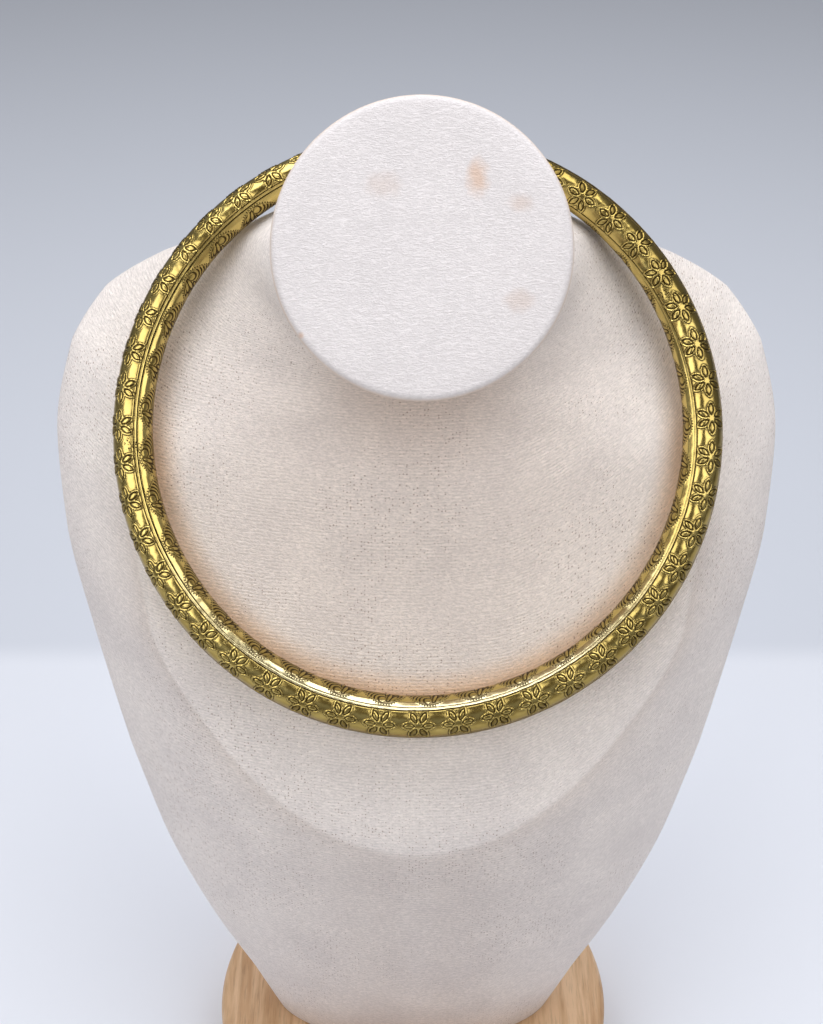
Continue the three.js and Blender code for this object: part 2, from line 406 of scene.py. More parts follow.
def brass_shader(tree, shader, darkness, height, film_share, extra_film=0.0, edge=0.0):
    """Brass that was stamped, dipped dark and rubbed back: the lines keep their tarnish."""
    colours = bpy.context.scene.torc_colours
    place = node(tree, "TexCoord").outputs["Object"]
    cloud = node(tree, "TexNoise", {"Vector": place, "Scale": 140, "Detail": 3, "Roughness": 0.6})
    patch = node(tree, "MapRange", {"Value": cloud, "From Min": 0.35, "From Max": 0.65})
    least, more = film_share
    film = node(tree, "Math", {0: patch, 1: more, 2: least}, operation="MULTIPLY_ADD")
    film = node(tree, "Math", {0: film, 1: extra_film}, operation="ADD", use_clamp=True)
    metal = node(tree, "Mix", {0: film, 6: rgba(colours.brass), 7: rgba(colours.film)}, **COLOUR)
    # The crimped edges are painted paler at the front of the ring, its lowest part: a painted highlight that
    # whitens the overhead light's reflection there.
    up = node(tree, "SeparateXYZ", {0: place}).outputs["Z"]
    front = node(tree, "MapRange", {"Value": up, "From Min": 0.19, "From Max": 0.165})
    edge = node(tree, "Math", {0: edge, 1: front}, operation="MULTIPLY")
    metal = node(tree, "Mix", {0: edge, 6: metal, 7: rgba(colours.highlight_edge)}, **COLOUR)
    # Pits of a third of a millimetre, where the sheet is pitted.
    pitted = node(tree, "Attribute", attribute_name="pitting").outputs["Fac"]
    cells = node(tree, "TexVoronoi", {"Vector": place, "Scale": 1900})
    pits = node(
        tree,
        "MapRange",
        {"Value": cells, "From Min": 0.24, "From Max": 0.4, "To Min": 1.0, "To Max": 0.0},
    )
    pits = node(tree, "Math", {0: pits, 1: pitted}, operation="MULTIPLY")
    dark = node(tree, "Math", {0: pits, 1: darkness}, operation="MAXIMUM")
    shade = node(tree, "Mix", {0: dark, 6: metal, 7: rgba(colours.tarnish)}, **COLOUR)
    fine = node(tree, "TexNoise", {"Vector": place, "Scale": 2600, "Detail": 2, "Roughness": 0.7})
    rough = node(tree, "Math", {0: fine, 1: 0.14, 2: 0.13}, operation="MULTIPLY_ADD")
    rough = node(tree, "Math", {0: dark, 1: 0.35, 2: rough}, operation="MULTIPLY_ADD")
    # The sheet is uneven, finely worn and pitted, and the stamped lines have soft edges.
    uneven = node(tree, "TexNoise", {"Vector": place, "Scale": 420, "Detail": 1, "Roughness": 0.4})
    layers = [(uneven, 1.0, 0.09, False), (fine, 0.1, 0.02, False), (pits, 0.6, 0.1, True)]
    if height is not None:
        layers.append((height, 0.7, 0.13, False))
    surface = {}
    for layer, strength, depth, inwards in layers:
        inputs = {"Height": layer, "Strength": strength, "Distance": depth * MM, **surface}
        surface = {"Normal": node(tree, "Bump", inputs, invert=inwards)}
    fill(tree, shader, {"Base Color": shade, "Roughness": rough, "Metallic": 1, **surface})


def flower_brass():
    """Stamped sheet brass: bright raised outlines, dark lines round and inside each petal."""
    material, tree, shader = new_material("Stamped brass with flowers")
    edge = node(tree, "Attribute", attribute_name="petal_edge").outputs["Fac"]
    across = node(tree, "Attribute", attribute_name="across").outputs["Fac"]
    outlines = [
        (-0.68, 0), (-0.6, 0.85), (-0.42, 0.9), (-0.34, 0.05), (-0.02, 0), (0.04, 0.85), (0.13, 0.8),
        (0.22, 0.15), (0.7, 0),
    ]
    petals = lines_along(tree, edge, -1, 1, outlines)
    # The border at each side of the band is two fine wires with dark lines between them.
    wires = [(0.0, 0.95), (0.06, 0.9), (0.12, 0.0), (0.36, 0.0), (0.39, 0.3), (0.42, 0.3), (0.45, 0.0)]
    band = bpy.context.scene.torc_sizes.flower_band / MM
    rims = lines_along(tree, across, -0.3, 0.8, [(-0.1, 0), *wires])
    far = node(tree, "Math", {0: across, 1: -1, 2: -band}, operation="MULTIPLY_ADD")
    far_rims = lines_along(tree, far, -0.3, 0.8, [(-0.1, 0), *wires])
    rims = node(tree, "Math", {0: rims, 1: far_rims}, operation="MAXIMUM")
    dark = node(tree, "Math", {0: petals, 1: rims}, operation="MAXIMUM")
    height = node(tree, "Math", {0: 1.0, 1: dark}, operation="SUBTRACT")
    islands = lines_along(tree, edge, -1.2, 0, [(-0.6, 0.6), (-0.35, 0)])
    # The band's far side, towards the floor, carries more film and darker petal islands: painted shade for
    # the shaded linen that side reflects, over the real film. The border carries least.
    film_steps = [(-7, 1), (-5.6, 0.75), (-4, 0.25), (-2, 0.1), (-0.05, 0.1), (0.05, 0)]
    extra_film = lines_along(tree, across, -8, 1, film_steps)
    islands = node(tree, "Math", {0: islands, 1: extra_film}, operation="MULTIPLY")
    dark = node(tree, "Math", {0: islands, 1: dark}, operation="MAXIMUM")
    extra_film = node(tree, "Math", {0: extra_film, 1: 1.1, 2: -0.11}, operation="MULTIPLY_ADD")
    # Painted highlight: the seam-side border is painted paler at the ring's front.
    crimped = lines_along(tree, across, -1, 1, [(-0.05, 0), (0.05, 1)])
    brass_shader(tree, shader, dark, height, (0.0, 0.45), extra_film, crimped)
    return material


def scroll_brass():
    """Stamped sheet brass: painted paler along its near edge as a painted highlight, with thin dark lines on
    the scrolls' golden ground.
    """
    material, tree, shader = new_material("Stamped brass with scrolls")
    rope, eye, crescent, leaf, hatch, bead = (
        node(tree, "Attribute", attribute_name=name).outputs["Fac"]
        for name in ("rope", "eye", "crescent", "leaf", "hatch", "bead")
    )
    # Round the eye on its left and above it run short arcs, and beside it lie outlined leaves.
    arcs = node(tree, "Math", {0: hatch, 1: 2 * math.pi}, operation="MULTIPLY")
    arcs = node(tree, "Math", {0: arcs}, operation="COSINE")
    arcs = node(tree, "MapRange", {"Value": arcs, "From Min": -0.25, "From Max": 0.2})
    beside = lines_along(tree, hatch, -1, 1, [(0.5, 0), (0.6, 0.95)])
    arcs = node(tree, "Math", {0: arcs, 1: beside}, operation="MULTIPLY")
    leaves = lines_along(tree, leaf, -1, 1, [(-0.15, 0), (-0.07, 0.95), (0.18, 0.95), (0.26, 0)])
    lines = node(tree, "Math", {0: arcs, 1: leaves}, operation="MAXIMUM")
    clear = lines_along(tree, eye, 0, 3, [(EYE_RADIUS + 0.1, 0), (EYE_RADIUS + 0.16, 1)])
    inside = lines_along(tree, rope, -1, 1, [(-0.5, 1), (-0.42, 0)])
    for shown in (clear, inside):
        lines = node(tree, "Math", {0: lines, 1: shown}, operation="MULTIPLY")
    # The eye has a thin line round it, and a painted shadow in a crescent inside it, above and to the left.
    disc = lines_along(tree, eye, 0, 3, [(EYE_RADIUS - 0.02, 1), (EYE_RADIUS + 0.04, 0)])
    shadow = lines_along(tree, crescent, 0, 3, [(EYE_RADIUS - 0.28, 0), (EYE_RADIUS - 0.2, 0.9)])
    shadow = node(tree, "Math", {0: disc, 1: shadow}, operation="MULTIPLY")
    outline = [(-0.12, 0), (-0.05, 0.9), (0.05, 0.9), (0.12, 0)]
    ring = lines_along(tree, eye, 0, 3, [(EYE_RADIUS + place, dark) for place, dark in outline])
    # Beads along the rope, with a dark line inside it. The real ones are finer than a render shows.
    beads = node(tree, "Math", {0: bead, 1: 2 * math.pi / BEAD_PITCH}, operation="MULTIPLY")
    beads = node(tree, "Math", {0: beads}, operation="COSINE")
    beads = node(tree, "MapRange", {"Value": beads, "From Min": -0.1, "From Max": 0.4})
    on_rope = lines_along(tree, rope, -1, 1, [(-0.16, 0), (-0.1, 0.95), (0.14, 0.95), (0.2, 0)])
    beads = node(tree, "Math", {0: beads, 1: on_rope}, operation="MULTIPLY")
    beside_rope = lines_along(tree, rope, -1, 1, [(-0.36, 0), (-0.3, 0.85), (-0.2, 0.85), (-0.14, 0)])
    marks = shadow
    for line in (ring, lines, beads, beside_rope):
        marks = node(tree, "Math", {0: line, 1: marks}, operation="MAXIMUM")
    height = node(tree, "Math", {0: marks, 1: -0.5, 2: 1.0}, operation="MULTIPLY_ADD")
    across = node(tree, "Attribute", attribute_name="across").outputs["Fac"]
    # Painted highlight: the near edge, up to the ropes, is painted paler at the ring's front.
    crimped = lines_along(tree, across, 0, 4, [(1.5, 1), (2.6, 0)])
    extra_film = node(tree, "Math", {0: inside, 1: 0.5}, operation="MULTIPLY")
    brass_shader(tree, shader, marks, height, (0.0, 0.3), extra_film, crimped)
    return material


def plain_brass():
    """Turned brass, dulled by handling, with no ornament."""
    material, tree, shader = new_material("Turned brass")
    brass_shader(tree, shader, 0.08, None, (0.2, 0.6))
    return material


def fibres(tree, place, turn):
    """Short pale fibres about 2 mm long, lying one way."""
    laid = node(tree, "Mapping", {"Vector": place, "Rotation": (0, 0, turn), "Scale": (900, 2500, 1600)})
    strands = node(
        tree,
        "TexNoise",
        {"Vector": laid, "Scale": 1.0, "Detail": 2, "Roughness": 0.6, "Distortion": 0.8},
    )
    return node(tree, "MapRange", {"Value": strands, "From Min": 0.46, "From Max": 0.68})


def linen_surface(tree, flat, place, base, grey, contrast=1.0):
    """The colour and height of brushed linen: pale fibres lying two ways on a cloudy ground."""
    cloud = node(tree, "TexNoise", {"Vector": place, "Scale": 55, "Detail": 4, "Roughness": 0.62})
    cloud = node(tree, "MapRange", {"Value": cloud, "From Min": 0.38, "From Max": 0.62})
    ground = node(tree, "Mix", {0: cloud, 6: rgba(base), 7: rgba(grey)}, **COLOUR)
    pile = node(
        tree, "Math", {0: fibres(tree, flat, 0.45), 1: fibres(tree, flat, -0.3)}, operation="MAXIMUM"
    )
    grit = node(tree, "TexNoise", {"Vector": place, "Scale": 2400, "Detail": 2, "Roughness": 0.7})
    pile = node(tree, "Math", {0: grit, 1: 0.5, 2: pile}, operation="MULTIPLY_ADD")
    light = node(
        tree,
        "MapRange",
        {"Value": pile, "From Max": 1.4, "To Min": 1 - 0.18 * contrast, "To Max": 1 + 0.19 * contrast},
    )
    shaded = node(tree, "Mix", {0: 1.0, 6: ground, 7: light}, **TINT)
    return shaded, pile


def finish_linen(tree, shader, surface, height):
    """Links linen's colour and height: matt, with a little sheen from its loose fibres."""
    bump = node(tree, "Bump", {"Height": height, "Strength": 0.45, "Distance": 0.22 * MM})
    sheen = {"Sheen Weight": 0.2, "Sheen Roughness": 0.6, "Specular IOR Level": 0.2}
    fill(tree, shader, {"Base Color": surface, "Roughness": 0.95, "Normal": bump, **sheen})


def ribbed_linen():
    """Ribbed linen, glued down and brushed: matt, with broken ribs, open pits between them and pile."""
    material, tree, shader = new_material("Ribbed linen")
    colours = bpy.context.scene.torc_colours
    pitch = bpy.context.scene.bust_sizes.rib_pitch
    place = node(tree, "TexCoord").outputs["Object"]
    weave = node(tree, "UVMap", uv_map="weave").outputs["UV"]
    surface, pile = linen_surface(tree, weave, place, colours.linen, colours.linen_grey)

    # The ribs wander by half their pitch and are rubbed away in places.
    wander = node(tree, "TexNoise", {"Vector": place, "Scale": 150, "Detail": 2})
    up = node(tree, "SeparateXYZ", {0: weave}).outputs["Y"]
    up = node(tree, "Math", {0: wander, 1: pitch, 2: up}, operation="MULTIPLY_ADD")
    wave = node(tree, "Math", {0: up, 1: 2 * math.pi / pitch}, operation="MULTIPLY")
    wave = node(tree, "Math", {0: wave}, operation="SINE")
    rubbed = node(tree, "TexNoise", {"Vector": place, "Scale": 38, "Detail": 3, "Roughness": 0.6})
    rubbed = node(tree, "MapRange", {"Value": rubbed, "From Min": 0.34, "From Max": 0.56})
    wave = node(tree, "Math", {0: wave, 1: rubbed}, operation="MULTIPLY")
    height = node(tree, "Math", {0: wave, 1: 0.3, 2: pile}, operation="MULTIPLY_ADD")
    # The ribs are painted a little lighter on their crests and darker in their troughs: painted light and
    # shade over their bump.
    light = node(tree, "Math", {0: wave, 1: 0.055, 2: 1.0}, operation="MULTIPLY_ADD")
    surface = node(tree, "Mix", {0: 1.0, 6: surface, 7: light}, **TINT)

    # Open pits, one or none to each square of the weave.
    cells = node(tree, "VectorMath", {0: weave, 1: [1 / pitch] * 3}, operation="MULTIPLY")
    cells = node(
        tree, "TexVoronoi", {"Vector": cells, "Scale": 1.0, "Randomness": 0.75}, voronoi_dimensions="2D"
    )
    few = node(tree, "SeparateColor", {0: cells.outputs["Color"]})
    deep = node(tree, "MapRange", {"Value": few, "From Min": 0.4, "From Max": 1.0, "To Max": 0.27})
    patches = node(tree, "TexNoise", {"Vector": place, "Scale": 30, "Detail": 2})
    patches = node(tree, "MapRange", {"Value": patches, "From Min": 0.32, "From Max": 0.56})
    deep = node(tree, "Math", {0: deep, 1: patches}, operation="MULTIPLY")
    pits = node(tree, "Math", {0: deep, 1: cells.outputs["Distance"]}, operation="SUBTRACT")
    pits = node(tree, "MapRange", {"Value": pits, "From Min": 0.0, "From Max": 0.1, "To Max": 0.85})
    surface = node(tree, "Mix", {0: pits, 6: surface, 7: rgba(colours.fleck)}, **COLOUR)

    # The middle of the chest is painted a little darker: painted shade that tones down the overhead light
    # there.
    middle = node(tree, "VectorMath", {0: place, 1: (1.0, 0.4, 1.2)}, operation="MULTIPLY")
    middle = node(tree, "VectorMath", {0: middle, 1: (0.0, 0.0, 0.228)}, operation="DISTANCE")
    laid = node(
        tree,
        "MapRange",
        {"Value": middle.outputs["Value"], "From Min": 0.08, "From Max": 0.025},
        **SMOOTH,
    )

    # Past the chest's crease, low on the board, the linen is painted greyer: painted shade of the board's
    # sides, which face the overhead light less, darkest in a soft line just below the crease.
    crease = node(tree, "Attribute", attribute_name="past_crease").outputs["Fac"]
    up = node(tree, "SeparateXYZ", {0: place}).outputs["Z"]
    low = node(tree, "MapRange", {"Value": up, "From Min": 0.200, "From Max": 0.165})
    past = lines_along(tree, crease, -5, 15, [(-0.5, 0), (0.1, 1), (1.5, 0.7), (5, 0.3), (12, 0)])
    past = node(tree, "Math", {0: past, 1: low}, operation="MULTIPLY")

    # Close under the cap the linen is painted darker and browner: painted shadow of the cap's overhang.
    away = node(tree, "VectorMath", {0: place, 1: (0, 0, 0.238)}, operation="DISTANCE").outputs["Value"]
    near = node(tree, "MapRange", {"Value": away, "From Min": 0.045, "From Max": 0.014}, **SMOOTH)

    # Along the ring's inner side, where it lies on the chest, the linen is painted warm: painted reflection
    # of light thrown by the brass, with painted contact shade.
    ring_radius = bpy.context.scene.torc_sizes.ring_radius
    tube = bpy.context.scene.torc_sizes.tube_radius
    from_centre = node(tree, "VectorMath", {0: place, 1: TORC_CENTRE * MM}, operation="SUBTRACT")
    out = node(tree, "VectorMath", {0: from_centre, 1: TORC_AXIS}, operation="DOT_PRODUCT")
    flat = node(tree, "VectorMath", {0: TORC_AXIS, "Scale": out.outputs["Value"]}, operation="SCALE")
    flat = node(tree, "VectorMath", {0: from_centre, 1: flat}, operation="SUBTRACT")
    flat = node(tree, "VectorMath", {0: flat}, operation="LENGTH").outputs["Value"]
    aside = node(tree, "Math", {0: flat, 1: ring_radius}, operation="SUBTRACT")
    away = node(tree, "CombineXYZ", {"X": aside, "Y": out.outputs["Value"]})
    away = node(tree, "VectorMath", {0: away}, operation="LENGTH").outputs["Value"]
    reach = node(tree, "MapRange", {"Value": away, "From Min": tube + 7 * MM, "From Max": tube}, **SMOOTH)
    inner = node(tree, "MapRange", {"Value": aside, "From Min": 3 * MM, "From Max": -3 * MM})
    glow = node(tree, "Math", {0: reach, 1: inner}, operation="MULTIPLY")
    lying = node(tree, "MapRange", {"Value": up, "From Min": 0.228, "From Max": 0.198})
    glow = node(tree, "Math", {0: glow, 1: lying}, operation="MULTIPLY")

    tints = (
        (laid, colours.chest_shade), (past, colours.past_crease), (near, colours.cap_shadow),
        (glow, colours.brass_glow),
    )
    for share, tint in tints:
        surface = node(tree, "Mix", {0: share, 6: surface, 7: rgba(tint)}, **TINT)
    finish_linen(tree, shader, surface, height)
    return material


def cap_linen(stains):
    """The same linen, brushed smooth and cleaner, with stains where glue came through it."""
    material, tree, shader = new_material("Brushed linen")
    colours = bpy.context.scene.torc_colours
    place = node(tree, "TexCoord").outputs["Object"]
    level = node(tree, "Mapping", {"Vector": place, "Rotation": (-(math.pi / 2 - CAP_TILT), 0, 0)})
    surface, pile = linen_surface(tree, level, place, colours.cap, colours.cap_grey, contrast=0.5)
    rim = node(tree, "Attribute", attribute_name="rim").outputs["Fac"]
    surface = node(tree, "Mix", {0: rim, 6: surface, 7: rgba(colours.cap_rim)}, **COLOUR)
    for centre, reach, strength, tint in stains:
        away = node(tree, "VectorMath", {0: place, 1: centre}, operation="SUBTRACT")
        away = node(tree, "VectorMath", {0: away, 1: [1 / r for r in reach]}, operation="MULTIPLY")
        away = node(tree, "VectorMath", {0: away}, operation="LENGTH").outputs["Value"]
        ragged = node(tree, "TexNoise", {"Vector": place, "Scale": 420, "Detail": 3})
        away = node(tree, "Math", {0: ragged, 1: 0.8, 2: away}, operation="MULTIPLY_ADD")
        soaked = node(
            tree,
            "MapRange",
            {"Value": away, "From Min": 0.6, "From Max": 1.5, "To Min": strength, "To Max": 0.0},
            **SMOOTH,
        )
        surface = node(tree, "Mix", {0: soaked, 6: surface, 7: rgba(tint)}, **COLOUR)
    finish_linen(tree, shader, surface, pile)
    return material


def base_wood():
    """Pale hardwood, turned, sanded and thinly waxed: straight grain from front to back."""
    material, tree, shader = new_material("Waxed pale hardwood")
    colours = bpy.context.scene.torc_colours
    place = node(tree, "TexCoord").outputs["Object"]
    # Growth rings 4 mm apart with finer streaks between them, pulled out along the plank.
    plank = node(
        tree,
        "Mapping",
        {"Vector": place, "Rotation": (0, 0, math.radians(-6)), "Scale": (1, 0.07, 0.12)},
    )
    drift = node(
        tree,
        "TexNoise",
        {"Vector": plank, "Scale": 75, "Detail": 3, "Roughness": 0.5, "Distortion": 0.4},
    )
    rings = node(
        tree,
        "TexNoise",
        {"Vector": plank, "Scale": 330, "Detail": 4, "Roughness": 0.65, "Distortion": 0.25},
    )
    grown = node(tree, "Math", {0: drift, 1: 0.6, 2: rings}, operation="MULTIPLY_ADD")
    growth = node(tree, "MapRange", {"Value": grown, "From Min": 0.66, "From Max": 0.94})
    board = node(tree, "Mix", {0: growth, 6: rgba(colours.grain), 7: rgba(colours.wood)}, **COLOUR)
    pores = node(tree, "TexNoise", {"Vector": plank, "Scale": 2200, "Detail": 2, "Roughness": 0.6})
    pore = node(
        tree, "MapRange", {"Value": pores, "From Min": 0.3, "From Max": 0.46, "To Min": 0.8, "To Max": 1.0}
    )
    surface = node(tree, "Mix", {0: 1.0, 6: board, 7: pore}, **TINT)
    rough = node(
        tree, "MapRange", {"Value": grown, "From Min": 0.64, "From Max": 1.0, "To Min": 0.55, "To Max": 0.42}
    )
    bump = node(tree, "Bump", {"Height": pores, "Strength": 0.2, "Distance": 0.1 * MM})
    fill(tree, shader, {"Base Color": surface, "Roughness": rough, "IOR": 1.5, "Normal": bump})
    return material


# ---------------------------------------------------------------- the torc's form


def tube_radius(turn):
    """Outside radius of the tube in millimetres, at a turn in degrees from the front."""
    sizes = bpy.context.scene.torc_sizes
    return (sizes.tube_radius - sizes.tube_taper * (abs(turn) / 180) ** TUBE_TAPER_POWER) / MM


def seam_angle(turn):
    """Where the front seam sits round the tube, in degrees, on a smooth curve through its table."""
    last = len(SEAM_ANGLES) - 1
    at = (turn + FULL_TURN / 2) / SEAM_STEP
    i = min(max(int(at), 0), last - 1)
    share = at - i
    a, b, c, d = (SEAM_ANGLES[min(max(k, 0), last)] for k in range(i - 1, i + 3))
    bend = 3 * b - 3 * c + d - a
    return b + share * ((c - a) + share * ((2 * a - 5 * b + 4 * c - d) + share * bend)) / 2


def torc_outward(turn):
    """The direction out of the ring at a turn."""
    t = math.radians(turn)
    return Vector((math.sin(t), 0, 0)) - TORC_UP * math.cos(t)


def torc_point(turn, angle, radius):
    """A place in the tube, in metres, from its turn round the ring and its angle round the tube."""
    ring_radius = bpy.context.scene.torc_sizes.ring_radius / MM
    a = math.radians(angle)
    outward = torc_outward(turn) * (ring_radius - radius * math.sin(a))
    return (TORC_CENTRE + outward + TORC_AXIS * (radius * math.cos(a))) * MM


def end_turn():
    """The turn at which the strips stop, so that the end caps leave the opening between them."""
    sizes = bpy.context.scene.torc_sizes
    short = sizes.opening / MM / 2 + CAP_DOME + CAP_GAP
    return 180 - math.degrees(short / (sizes.ring_radius / MM))


def even_rows(low, high, count):
    """Places of evenly spaced rows from low to high, both included."""
    return [low + (high - low) * i / count for i in range(count + 1)]


def flat_grid(name, left, right, columns, rows, height=0):
    """A flat grid in millimetres at a height, with even columns and with rows at given places."""
    start_clean()
    bpy.ops.mesh.primitive_grid_add(x_subdivisions=columns, y_subdivisions=len(rows) - 1, size=1)
    grid = new_piece(name)
    reshape(
        grid,
        lambda co: (
            left + (co.x + 0.5) * (right - left),
            rows[round((co.y + 0.5) * (len(rows) - 1))],
            height,
        ),
    )
    return grid


def press(piece, relief, heights):
    """Raises the sheet by a share of the relief that a function gives for each place."""
    group = piece.vertex_groups.new(name="stamp")
    for vertex in piece.data.vertices:
        group.add([vertex.index], min(max(heights(vertex.co), 0), 1), "REPLACE")
    apply_modifier(piece, "DISPLACE", direction="Z", mid_level=0, strength=relief, vertex_group="stamp")
    piece.vertex_groups.clear()


def measure(piece, name, values):
    """Keeps a measurement at each vertex for the material, from a list or from a function of its place."""
    if callable(values):
        values = [values(vertex.co) for vertex in piece.data.vertices]
    layer = piece.data.attributes.new(name, "FLOAT", "POINT")
    layer.data.foreach_set("value", values)


def join(pieces):
    """Joins pieces into the first of them."""
    make_active(pieces[0])
    for piece in pieces:
        piece.select_set(True)
    bpy.ops.object.join()
    return bpy.context.object


def bridge(piece, wanted):
    """Closes the gap between two edges of grids, whose vertices a function picks."""
    make_active(piece)
    bpy.ops.object.mode_set(mode="EDIT")
    bpy.ops.mesh.select_mode(type="EDGE")
    select_points(piece, wanted)
    bpy.ops.mesh.bridge_edge_loops()
    bpy.ops.object.mode_set(mode="OBJECT")


def repeat(piece, pitch, count, flat_radius, drift):
    """Repeats one length of strip to a full circle and cuts it at the torc's two ends."""
    apply_modifier(
        piece,
        "ARRAY",
        count=count,
        use_relative_offset=False,
        use_constant_offset=True,
        constant_offset_displace=(pitch, 0, 0),
        use_merge_vertices=True,
        merge_threshold=0.01,
    )
    for side in (-1, 1):
        # The drift at the cut depends on where the cut is, so it is closed in on.
        flat_turn = side * end_turn()
        for _ in range(8):
            flat_turn = side * end_turn() - between(drift, flat_turn)
        make_active(piece)
        bpy.ops.object.mode_set(mode="EDIT")
        bpy.ops.mesh.select_all(action="SELECT")
        bpy.ops.mesh.bisect(
            plane_co=(math.radians(flat_turn) * flat_radius, 0, 0),
            plane_no=(side, 0, 0),
            use_fill=True,
            clear_outer=True,
            threshold=0.0001,
        )
        bpy.ops.object.mode_set(mode="OBJECT")


def roll(piece, flat_radius, drift, shift=None):
    """Curls a flat strip round the tube and the tube round the ring, and turns millimetres to metres."""

    def place(co):
        turn = math.degrees(co.x / flat_radius)
        turn += between(drift, turn)
        radius = tube_radius(turn)
        across = shift(turn, co.y) if shift else co.y
        uneven = UNEVENNESS * noise.noise(Vector((co.x, co.y, 0)) * 0.35 + UNEVEN_SEED)
        angle = seam_angle(turn) + math.degrees(across / radius)
        return torc_point(turn, angle, radius - GROUND_DEPTH + co.z + uneven)

    reshape(piece, place)


def roll_strip(strip, edges, pitch, count, flat_radius, drift, shift=None):
    """Closes one length of strip along its edges, repeats it, rolls it into shape and pits it."""
    for edge in edges:
        bridge(strip, lambda co: abs(co.y - edge) < MEETING)
    face_outwards(strip, merge=MEETING)
    repeat(strip, pitch, count, flat_radius, drift)
    face_outwards(strip, merge=0)
    roll(strip, flat_radius, drift, shift)
    measure(strip, "pitting", pitting)


# ---------------------------------------------------------------- the flower strip

# A petal lies between two arcs: how far its middle is from the flower's, the arcs' radius, and how far
# their centres are from the petal's own line. Then the radius of the flower's flat middle.
PETALS = 6
PETAL_MIDDLE = 2.27
PETAL_CURVE = 2.28
PETAL_PINCH = 1.14
FLOWER_MIDDLE = 1.25
BORDER_ROWS = 6
BAND_ROWS = 31
FLOWER_COLUMNS = 44

# Places where the thin sheet is pitted: turn, angle round the tube, and reach in millimetres.
PITTED = ((119.5, 20, 2.4), (-87.5, 4, 2.2), (-34.5, 8, 0.8), (-42.5, 12, 1.0), (53, -5, 0.7))


def petal_edge(x, y):
    """How far a place is outside the nearest of the flower's petals. Inside it is negative."""
    sixth = 2 * math.pi / PETALS
    turn = math.atan2(y, x)
    turn -= sixth * round(turn / sixth)
    radius = math.hypot(x, y)
    along = radius * math.cos(turn) - PETAL_MIDDLE
    across = abs(radius * math.sin(turn)) + PETAL_PINCH
    return math.hypot(along, across) - PETAL_CURVE


def flower_edge(x, y):
    """The petals' edge, with the flower's flat middle joined on."""
    return min(petal_edge(x, y), max(math.hypot(x, y) - FLOWER_MIDDLE, -0.3))


def flower_height(x, y, half_band):
    """Height of the stamped flower band as a share of its relief, from the flower's middle."""
    edge = flower_edge(x, y)
    plate = 1 - smooth_step(-0.04, 0.14, edge)
    groove = 0.75 * ridge(edge + 0.49, 0.07, 0.12)
    cushion = 0.44 + 0.15 * smooth_step(0.0, 1.6, edge)
    cushion *= smooth_step(-0.02, 0.12, half_band - abs(y))
    return max(plate - groove, cushion * (1 - plate))


def border_height(depth):
    """Height of the border's two fine wires as a share of the relief, from its inner edge outwards."""
    return 0.5 + 0.06 * max(ridge(depth - 0.23, 0.06, 0.13), ridge(depth - 0.56, 0.06, 0.11))


def pitting(co):
    """How badly a finished place is pitted, from 0 to 1."""
    sizes = bpy.context.scene.torc_sizes
    worst = 0
    for turn, angle, reach in PITTED:
        away = (co - torc_point(turn, angle, sizes.tube_radius / MM)).length / MM
        worst = max(worst, 1 - smooth_step(0.6 * reach, reach, away))
    return worst


class OBJECT_OT_flower_strip(bpy.types.Operator):
    """Stamp the outer strip of the torc with its band of flowers and roll it into shape"""

    bl_idname = "object.torc_flower_strip"
    bl_label = "Flower Strip"

    def execute(self, context):
        sizes = context.scene.torc_sizes
        band = sizes.flower_band / MM
        border = sizes.border / MM
        low, high = -band - border, border
        flat_radius = FLOWER_FLAT_RADIUS
        pitch = math.radians(FULL_TURN / sizes.flowers) * flat_radius
        count = sizes.flowers
        left = -pitch * count / 2
        thickness = sizes.sheet / MM - GROUND_DEPTH
        middle = left + pitch / 2

        rows = even_rows(low, -band, BORDER_ROWS)
        rows += even_rows(-band, 0, BAND_ROWS)[1:] + even_rows(0, high, BORDER_ROWS)[1:]
        outside = flat_grid("flower_strip_brass", left, left + pitch, FLOWER_COLUMNS, rows)

        def height(co):
            y = co.y + band / 2
            if abs(y) > band / 2:
                return border_height(abs(y) - band / 2)
            return flower_height(co.x - middle, y, band / 2)

        measure(outside, "petal_edge", lambda co: flower_edge(co.x - middle, co.y + band / 2))
        measure(outside, "across", lambda co: co.y)
        press(outside, sizes.relief / MM, height)
        inside = flat_grid("flower_inside", left, left + pitch, 3, even_rows(low, high, 6), -thickness)
        strip = join([outside, inside])
        roll_strip(strip, (low, high), pitch, count, flat_radius, FLOWER_DRIFT)
        finish_piece(strip, flower_brass(), "flower_strip", angle=50)
        return {"FINISHED"}


# ---------------------------------------------------------------- the scroll strip

# Each scroll hangs from a beaded rope, an arc of this radius whose top is this far from the seam. In it
# sits an eye with arcs round it and leaves beside it, and the stamp ends before the plain underside.
SCROLL_CURVE = 5.75
SCROLL_APEX = 1.35
EYE_OFFSET = -0.55
EYE_DEPTH = 2.8
EYE_RADIUS = 1.05
EYE_TURN = 1.95
ORNAMENT_END = 6.6
STAMPED_END = 9.5
HATCH_PITCH = 0.8
BEAD_PITCH = 0.62
SCROLL_COLUMNS = 52
# A distance at which nothing is drawn.
FAR_AWAY = 5
# The strip's near edge falls away towards the seam, by this much over this width.
BAND_FALL = 0.22
BAND_WIDTH = 1.1
LEAVES = (
    # foot and tip, from the eye's middle, and half width
    ((1.3, -0.95), (2.35, 2.5), 0.46),
    ((1.75, -1.15), (3.75, 1.75), 0.46),
    ((2.9, -0.35), (4.6, 1.55), 0.3),
    ((0.85, 1.25), (1.5, 3.7), 0.42),
    ((2.75, 1.75), (4.1, 3.6), 0.4),
)
# How far the strip's near edge moves where the seam has closed.
CLOSED_SHIFT = 0.3


def scroll_rope(across, y):
    """Signed distance to the beaded rope round a scroll, from the scroll's middle line."""
    return math.hypot(across, y - SCROLL_APEX - SCROLL_CURVE) - SCROLL_CURVE


